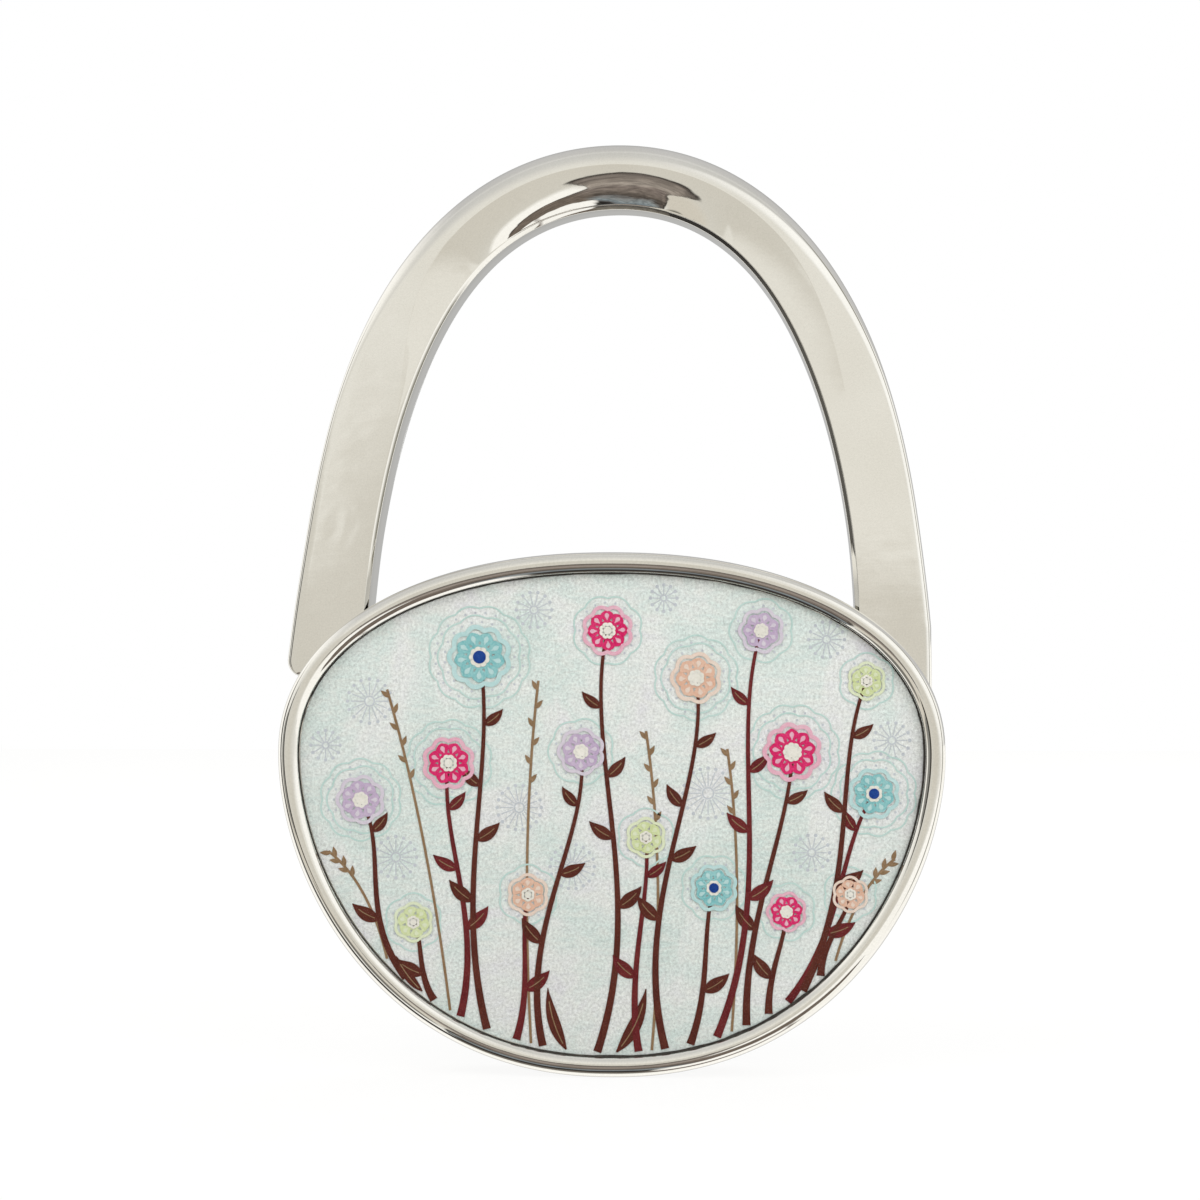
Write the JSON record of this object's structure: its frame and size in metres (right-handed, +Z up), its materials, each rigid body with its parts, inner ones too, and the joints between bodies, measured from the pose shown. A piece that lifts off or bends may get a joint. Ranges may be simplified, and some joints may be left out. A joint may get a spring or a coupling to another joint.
{
  "type": "folding purse hook",
  "caption": "Padlock-shaped folding bag hanger: oval metal head with an inlaid picture and a rubber pad, and an arched arm that swings out on a hinge pin.",
  "frame": {"origin": "centre of the rubber pad's face, the face that lies on the table", "axes": "+Z up along the closed hook from the head to the arch, +Y out of the back along the pad's normal, +X to the hinge, the viewer's right"},
  "size_m": [0.0452, 0.0086, 0.0635],
  "materials": {
    "plated_zinc": "bright nickel plating on die-cast zinc",
    "adhesive": "double-sided tape",
    "backing": "white sheet",
    "mother_of_pearl": "printed mother-of-pearl sheet",
    "clear_resin": "clear resin",
    "rubber": "black rubber",
    "steel": "plain steel",
    "brass": "plain brass",
    "nylon": "natural nylon",
    "magnet": "nickel-plated magnet"
  },
  "bodies": {
    "head": {"head_casting": "plated_zinc", "inlay_tape": "adhesive", "inlay_backing": "backing", "shell_inlay": "mother_of_pearl", "clear_coat": "clear_resin", "pad_tape": "adhesive", "anti_slip_pad": "rubber", "retaining_screw": "steel", "hinge_bush": "brass", "friction_washer": "nylon", "spring_washer": "steel", "head_magnet": "magnet"},
    "arm": {"hook_arm": "plated_zinc", "hinge_pin": "steel", "tip_magnet": "magnet"}
  },
  "joints": [
    {"name": "arm_swing", "type": "hinge", "parent": "head", "child": "arm", "pos_m": [0.0203, -0.0034, 0.0036], "axis": [0, 0, -1], "range_deg": [0, 180]}
  ]
}
